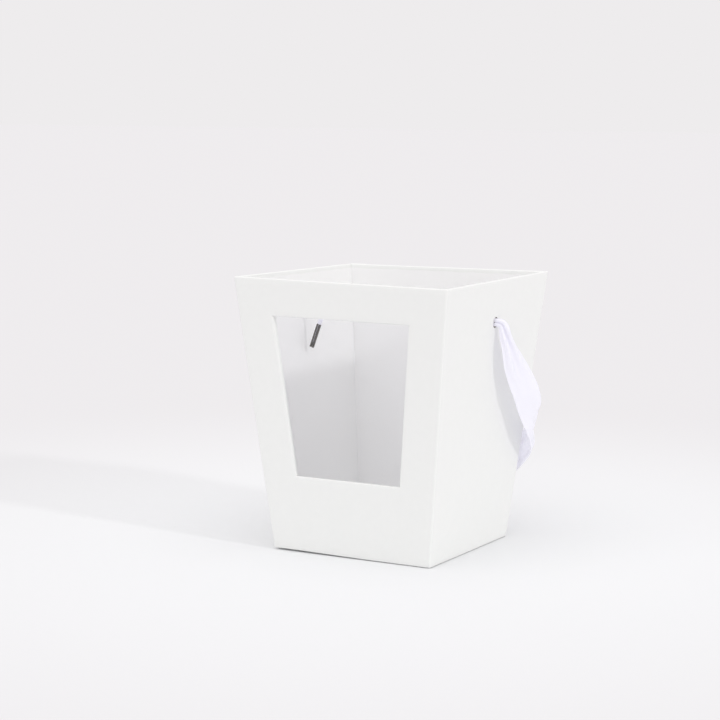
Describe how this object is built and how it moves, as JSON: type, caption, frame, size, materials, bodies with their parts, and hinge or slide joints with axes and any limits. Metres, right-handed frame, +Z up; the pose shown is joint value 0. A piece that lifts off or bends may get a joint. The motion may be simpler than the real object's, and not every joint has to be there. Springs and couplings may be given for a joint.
{
  "type": "ribbon-handled flower box",
  "caption": "Square tapered paperboard flower pail, open at the top, with a film window in the front wall and a ribbon handle whose crimped ends hang inside the side walls.",
  "frame": {"origin": "middle of the foot, on the surface that the box stands on", "axes": "+Z up, the window faces -Y, and the ribbon passes through the walls at +X and -X"},
  "size_m": [0.1924, 0.1714, 0.2],
  "materials": {
    "greyboard": "matte",
    "stay_tape": "matte",
    "white_art_paper": "satin",
    "lining_paper": "matte",
    "clear_film": "gloss",
    "satin_ribbon": "satin",
    "dark_steel": "satin"
  },
  "bodies": {
    "box": {"front_board": "greyboard", "back_board": "greyboard", "left_board": "greyboard", "right_board": "greyboard", "base_board": "greyboard", "front_left_corner_tape": "stay_tape", "front_right_corner_tape": "stay_tape", "back_left_corner_tape": "stay_tape", "back_right_corner_tape": "stay_tape", "outer_wrap": "white_art_paper", "underside_paper": "white_art_paper", "front_lining": "lining_paper", "back_lining": "lining_paper", "left_lining": "lining_paper", "right_lining": "lining_paper", "base_lining": "lining_paper", "window_film": "clear_film"},
    "handle": {"ribbon_handle": "satin_ribbon"},
    "left_tail": {"left_ribbon_tail": "satin_ribbon", "left_barb": "dark_steel"},
    "right_tail": {"right_ribbon_tail": "satin_ribbon", "right_barb": "dark_steel"}
  },
  "joints": [
    {"name": "handle_swing", "type": "hinge", "parent": "box", "child": "handle", "pos_m": [0, 0, 0.17], "axis": [1, 0, 0], "range_deg": [0, 280]},
    {"name": "left_tail_swing", "type": "hinge", "parent": "box", "child": "left_tail", "pos_m": [-0.0786, 0, 0.17], "axis": [0, -1, 0], "range_deg": [-6, 58]},
    {"name": "right_tail_swing", "type": "hinge", "parent": "box", "child": "right_tail", "pos_m": [0.0786, 0, 0.17], "axis": [0, 1, 0], "range_deg": [-6, 58]}
  ]
}
